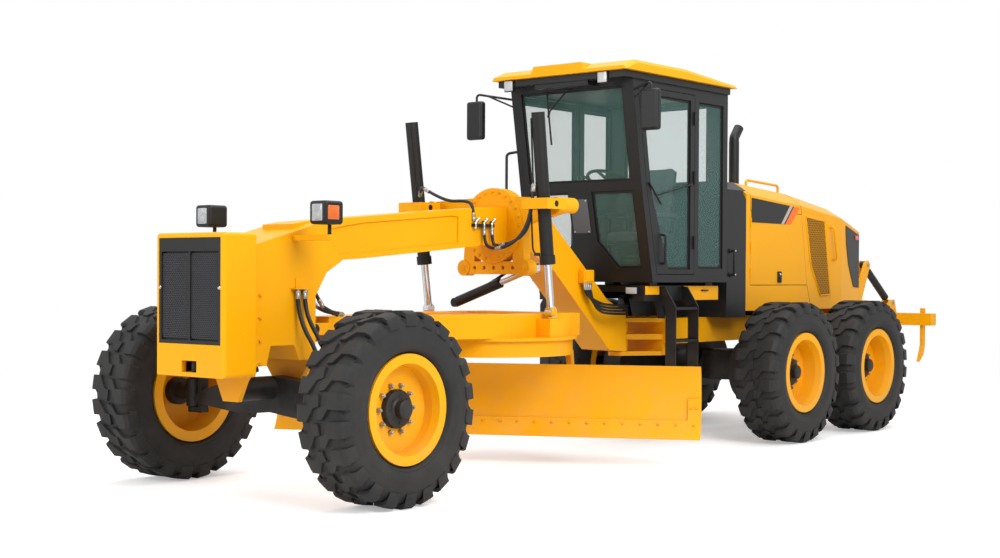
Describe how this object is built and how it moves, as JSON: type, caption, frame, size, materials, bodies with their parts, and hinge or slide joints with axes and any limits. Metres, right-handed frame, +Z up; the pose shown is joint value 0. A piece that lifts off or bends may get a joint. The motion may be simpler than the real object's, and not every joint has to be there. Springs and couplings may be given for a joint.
{
  "type": "motor grader",
  "caption": "Articulated motor grader with a long gooseneck beam, a turning circle and blade under it, leaning front wheels, tandem rear wheels, cab and rear ripper",
  "frame": {"origin": "on the ground, in the middle of the overall length and width", "axes": "+X forward, +Y to the machine's left, +Z up"},
  "size_m": [10.187, 3.2948, 3.48],
  "materials": {
    "yellow_paint": "gloss",
    "dark_paint": "satin",
    "rod_chrome": "polished",
    "edge_steel": "worn",
    "tyre_rubber": "matt",
    "window_glass": "clear",
    "seat_cloth": "matt"
  },
  "bodies": {
    "rear_frame": {"rear_frame": "yellow_paint", "drive_axle": "dark_paint", "cab_platform": "dark_paint", "cab_shell": "dark_paint", "cab_glass": "window_glass", "cab_roof": "yellow_paint", "operator_seat": "seat_cloth", "steering_console": "dark_paint", "tower": "dark_paint", "hood_shell": "yellow_paint", "engine_block": "dark_paint", "exhaust_stack": "dark_paint"},
    "front_frame": {"gooseneck": "yellow_paint", "nose_box": "yellow_paint", "nose_grille": "dark_paint", "headlamps": "dark_paint", "saddle": "yellow_paint"},
    "cab_door_left": {"cab_door_left": "dark_paint"},
    "cab_door_right": {"cab_door_right": "dark_paint"},
    "service_door_left": {"service_door_left": "yellow_paint"},
    "service_door_right": {"service_door_right": "yellow_paint"},
    "tandem_left": {"tandem_case_left": "dark_paint"},
    "tandem_right": {"tandem_case_right": "dark_paint"},
    "front_axle": {"front_axle": "dark_paint"},
    "lean_yoke_left": {"lean_yoke_left": "dark_paint"},
    "lean_yoke_right": {"lean_yoke_right": "dark_paint"},
    "knuckle_left": {"knuckle_left": "dark_paint"},
    "knuckle_right": {"knuckle_right": "dark_paint"},
    "tie_rod": {"tie_rod": "dark_paint"},
    "drawbar_ball": {"drawbar_ball": "dark_paint"},
    "drawbar": {"drawbar": "yellow_paint"},
    "circle": {"circle": "yellow_paint"},
    "blade_bracket": {"blade_bracket": "yellow_paint"},
    "blade": {"moldboard": "yellow_paint", "cutting_edge": "edge_steel"},
    "gimbal_left": {"gimbal_left": "dark_paint"},
    "gimbal_right": {"gimbal_right": "dark_paint"},
    "lift_barrel_left": {"lift_barrel_left": "dark_paint"},
    "lift_barrel_right": {"lift_barrel_right": "dark_paint"},
    "lift_rod_left": {"lift_rod_left": "rod_chrome"},
    "lift_rod_right": {"lift_rod_right": "rod_chrome"},
    "shift_barrel": {"shift_barrel": "dark_paint"},
    "shift_rod": {"shift_rod": "rod_chrome"},
    "ripper_lower_links": {"ripper_lower_links": "yellow_paint"},
    "ripper_upper_links": {"ripper_upper_links": "yellow_paint"},
    "ripper": {"ripper": "yellow_paint"},
    "ripper_barrels": {"ripper_barrels": "yellow_paint"},
    "ripper_rods": {"ripper_rods": "rod_chrome"},
    "wheel_mid_left": {"tyre_mid_left": "tyre_rubber", "rim_mid_left": "yellow_paint"},
    "wheel_rear_left": {"tyre_rear_left": "tyre_rubber", "rim_rear_left": "yellow_paint"},
    "wheel_front_left": {"tyre_front_left": "tyre_rubber", "rim_front_left": "yellow_paint"},
    "wheel_mid_right": {"tyre_mid_right": "tyre_rubber", "rim_mid_right": "yellow_paint"},
    "wheel_rear_right": {"tyre_rear_right": "tyre_rubber", "rim_rear_right": "yellow_paint"},
    "wheel_front_right": {"tyre_front_right": "tyre_rubber", "rim_front_right": "yellow_paint"}
  },
  "joints": [
    {"name": "articulation", "type": "hinge", "parent": "rear_frame", "child": "front_frame", "pos_m": [-0.0135, 0, 1], "axis": [0, 0, 1], "range_deg": [-25, 25]},
    {"name": "tandem_left", "type": "hinge", "parent": "rear_frame", "child": "tandem_left", "pos_m": [-2.0135, 0.7, 0.674], "axis": [0, 1, 0], "range_deg": [-15, 15]},
    {"name": "wheel_mid_left", "type": "hinge", "parent": "tandem_left", "child": "wheel_mid_left", "pos_m": [-1.2435, 1.13, 0.674], "axis": [0, 1, 0], "continuous": true},
    {"name": "wheel_rear_left", "type": "hinge", "parent": "tandem_left", "child": "wheel_rear_left", "pos_m": [-2.7835, 1.13, 0.674], "axis": [0, 1, 0], "continuous": true},
    {"name": "tandem_right", "type": "hinge", "parent": "rear_frame", "child": "tandem_right", "pos_m": [-2.0135, -0.7, 0.674], "axis": [0, 1, 0], "range_deg": [-15, 15]},
    {"name": "wheel_mid_right", "type": "hinge", "parent": "tandem_right", "child": "wheel_mid_right", "pos_m": [-1.2435, -1.13, 0.674], "axis": [0, 1, 0], "continuous": true},
    {"name": "wheel_rear_right", "type": "hinge", "parent": "tandem_right", "child": "wheel_rear_right", "pos_m": [-2.7835, -1.13, 0.674], "axis": [0, 1, 0], "continuous": true},
    {"name": "axle_oscillation", "type": "hinge", "parent": "front_frame", "child": "front_axle", "pos_m": [4.2865, 0, 0.76], "axis": [1, 0, 0], "range_deg": [-15, 15]},
    {"name": "lean_left", "type": "hinge", "parent": "front_axle", "child": "lean_yoke_left", "pos_m": [4.2865, 0.8, 0.64], "axis": [-1, 0, 0], "range_deg": [-17, 17]},
    {"name": "steer_left", "type": "hinge", "parent": "lean_yoke_left", "child": "knuckle_left", "pos_m": [4.2865, 0.945, 0.674], "axis": [0, 0, 1], "range_deg": [-45, 45]},
    {"name": "wheel_front_left", "type": "hinge", "parent": "knuckle_left", "child": "wheel_front_left", "pos_m": [4.2865, 1.13, 0.674], "axis": [0, 1, 0], "continuous": true},
    {"name": "lean_right", "type": "hinge", "parent": "front_axle", "child": "lean_yoke_right", "pos_m": [4.2865, -0.8, 0.64], "axis": [-1, 0, 0], "range_deg": [-17, 17]},
    {"name": "steer_right", "type": "hinge", "parent": "lean_yoke_right", "child": "knuckle_right", "pos_m": [4.2865, -0.945, 0.674], "axis": [0, 0, 1], "range_deg": [-45, 45]},
    {"name": "wheel_front_right", "type": "hinge", "parent": "knuckle_right", "child": "wheel_front_right", "pos_m": [4.2865, -1.13, 0.674], "axis": [0, 1, 0], "continuous": true},
    {"name": "tie_rod_slide", "type": "slide", "parent": "front_axle", "child": "tie_rod", "axis": [0, 1, 0], "range_m": [-0.0778, 0.0778]},
    {"name": "drawbar_yaw", "type": "hinge", "parent": "front_frame", "child": "drawbar_ball", "pos_m": [4.0065, 0, 1.18], "axis": [0, 0, 1], "range_deg": [-14, 14]},
    {"name": "drawbar_pitch", "type": "hinge", "parent": "drawbar_ball", "child": "drawbar", "pos_m": [4.0065, 0, 1.18], "axis": [0, 1, 0], "range_deg": [-18, 6]},
    {"name": "circle_turn", "type": "hinge", "parent": "drawbar", "child": "circle", "pos_m": [1.9365, 0, 1], "axis": [0, 0, 1], "continuous": true},
    {"name": "blade_tilt", "type": "hinge", "parent": "circle", "child": "blade_bracket", "pos_m": [1.82225, -0.06203, 0.42], "axis": [-0.4772, 0.8788, 0], "range_deg": [-20, 20]},
    {"name": "blade_side_shift", "type": "slide", "parent": "blade_bracket", "child": "blade", "axis": [0.4772, -0.8788, 0], "range_m": [-0.5, 0.5]},
    {"name": "gimbal_left", "type": "hinge", "parent": "front_frame", "child": "gimbal_left", "pos_m": [2.0165, 0.69, 2.17], "axis": [1, 0, 0], "range_deg": [-33.6, 33.6]},
    {"name": "lift_barrel_left", "type": "hinge", "parent": "gimbal_left", "child": "lift_barrel_left", "pos_m": [2.0165, 0.69, 2.17], "axis": [0, 1, 0], "range_deg": [-4.86, 1.62]},
    {"name": "lift_rod_left", "type": "slide", "parent": "lift_barrel_left", "child": "lift_rod_left", "axis": [-0.1296, -0.0113, -0.9915], "range_m": [-0.2164, 0.6491]},
    {"name": "gimbal_right", "type": "hinge", "parent": "front_frame", "child": "gimbal_right", "pos_m": [2.0165, -0.69, 2.17], "axis": [1, 0, 0], "range_deg": [-33.6, 33.6]},
    {"name": "lift_barrel_right", "type": "hinge", "parent": "gimbal_right", "child": "lift_barrel_right", "pos_m": [2.0165, -0.69, 2.17], "axis": [0, 1, 0], "range_deg": [-4.86, 1.62]},
    {"name": "lift_rod_right", "type": "slide", "parent": "lift_barrel_right", "child": "lift_rod_right", "axis": [-0.1296, 0.0113, -0.9915], "range_m": [-0.2164, 0.6491]},
    {"name": "shift_swing", "type": "hinge", "parent": "front_frame", "child": "shift_rod", "pos_m": [1.6815, 0.33, 1.65], "axis": [1, 0, 0], "range_deg": [-13.8, 41.4]},
    {"name": "shift_stroke", "type": "slide", "parent": "shift_rod", "child": "shift_barrel", "axis": [0, -0.946, -0.3242], "range_m": [-0.05404, 0.1622]},
    {"name": "ripper_lift", "type": "hinge", "parent": "rear_frame", "child": "ripper_lower_links", "pos_m": [-4.1235, 0, 0.66], "axis": [0, 1, 0], "range_deg": [-60, 0]},
    {"name": "ripper_upper", "type": "hinge", "parent": "rear_frame", "child": "ripper_upper_links", "pos_m": [-4.1235, 0, 0.87], "axis": [0, 1, 0], "range_deg": [-60, 0]},
    {"name": "ripper_level", "type": "hinge", "parent": "ripper_lower_links", "child": "ripper", "pos_m": [-4.8635, 0, 1], "axis": [0, 1, 0], "range_deg": [0, 60]},
    {"name": "ripper_barrels", "type": "hinge", "parent": "rear_frame", "child": "ripper_barrels", "pos_m": [-4.3135, 0, 1.73], "axis": [0, 1, 0], "range_deg": [-31.26, 0]},
    {"name": "ripper_rods", "type": "slide", "parent": "ripper_barrels", "child": "ripper_rods", "axis": [-0.8321, 0, -0.5547], "range_m": [0, 0.5875]},
    {"name": "cab_door_left", "type": "hinge", "parent": "rear_frame", "child": "cab_door_left", "pos_m": [-0.2435, 0.7, 2.4], "axis": [0, 0, 1], "range_deg": [0, 85]},
    {"name": "cab_door_right", "type": "hinge", "parent": "rear_frame", "child": "cab_door_right", "pos_m": [-0.2435, -0.7, 2.4], "axis": [0, 0, -1], "range_deg": [0, 85]},
    {"name": "service_door_left", "type": "hinge", "parent": "rear_frame", "child": "service_door_left", "pos_m": [-1.3585, 0.646, 1.9], "axis": [0, 0, -1], "range_deg": [0, 90]},
    {"name": "service_door_right", "type": "hinge", "parent": "rear_frame", "child": "service_door_right", "pos_m": [-1.3585, -0.646, 1.9], "axis": [0, 0, 1], "range_deg": [0, 90]}
  ],
  "couplings": [
    {"joint": "lean_right", "follows": "lean_left", "ratio": 1},
    {"joint": "steer_right", "follows": "steer_left", "ratio": 1},
    {"joint": "tie_rod_slide", "follows": "steer_left", "m_per_rad": -0.099},
    {"joint": "gimbal_left", "follows": "drawbar_yaw", "ratio": -2.4},
    {"joint": "lift_barrel_left", "follows": "drawbar_pitch", "ratio": 0.27},
    {"joint": "lift_rod_left", "follows": "drawbar_pitch", "m_per_rad": -2.066},
    {"joint": "gimbal_right", "follows": "drawbar_yaw", "ratio": -2.4},
    {"joint": "lift_barrel_right", "follows": "drawbar_pitch", "ratio": 0.27},
    {"joint": "lift_rod_right", "follows": "drawbar_pitch", "m_per_rad": -2.066},
    {"joint": "shift_swing", "follows": "drawbar_pitch", "ratio": -2.3},
    {"joint": "shift_stroke", "follows": "drawbar_pitch", "m_per_rad": -0.516},
    {"joint": "ripper_upper", "follows": "ripper_lift", "ratio": 1},
    {"joint": "ripper_level", "follows": "ripper_lift", "ratio": -1},
    {"joint": "ripper_barrels", "follows": "ripper_lift", "ratio": 0.521},
    {"joint": "ripper_rods", "follows": "ripper_lift", "m_per_rad": -0.561}
  ]
}
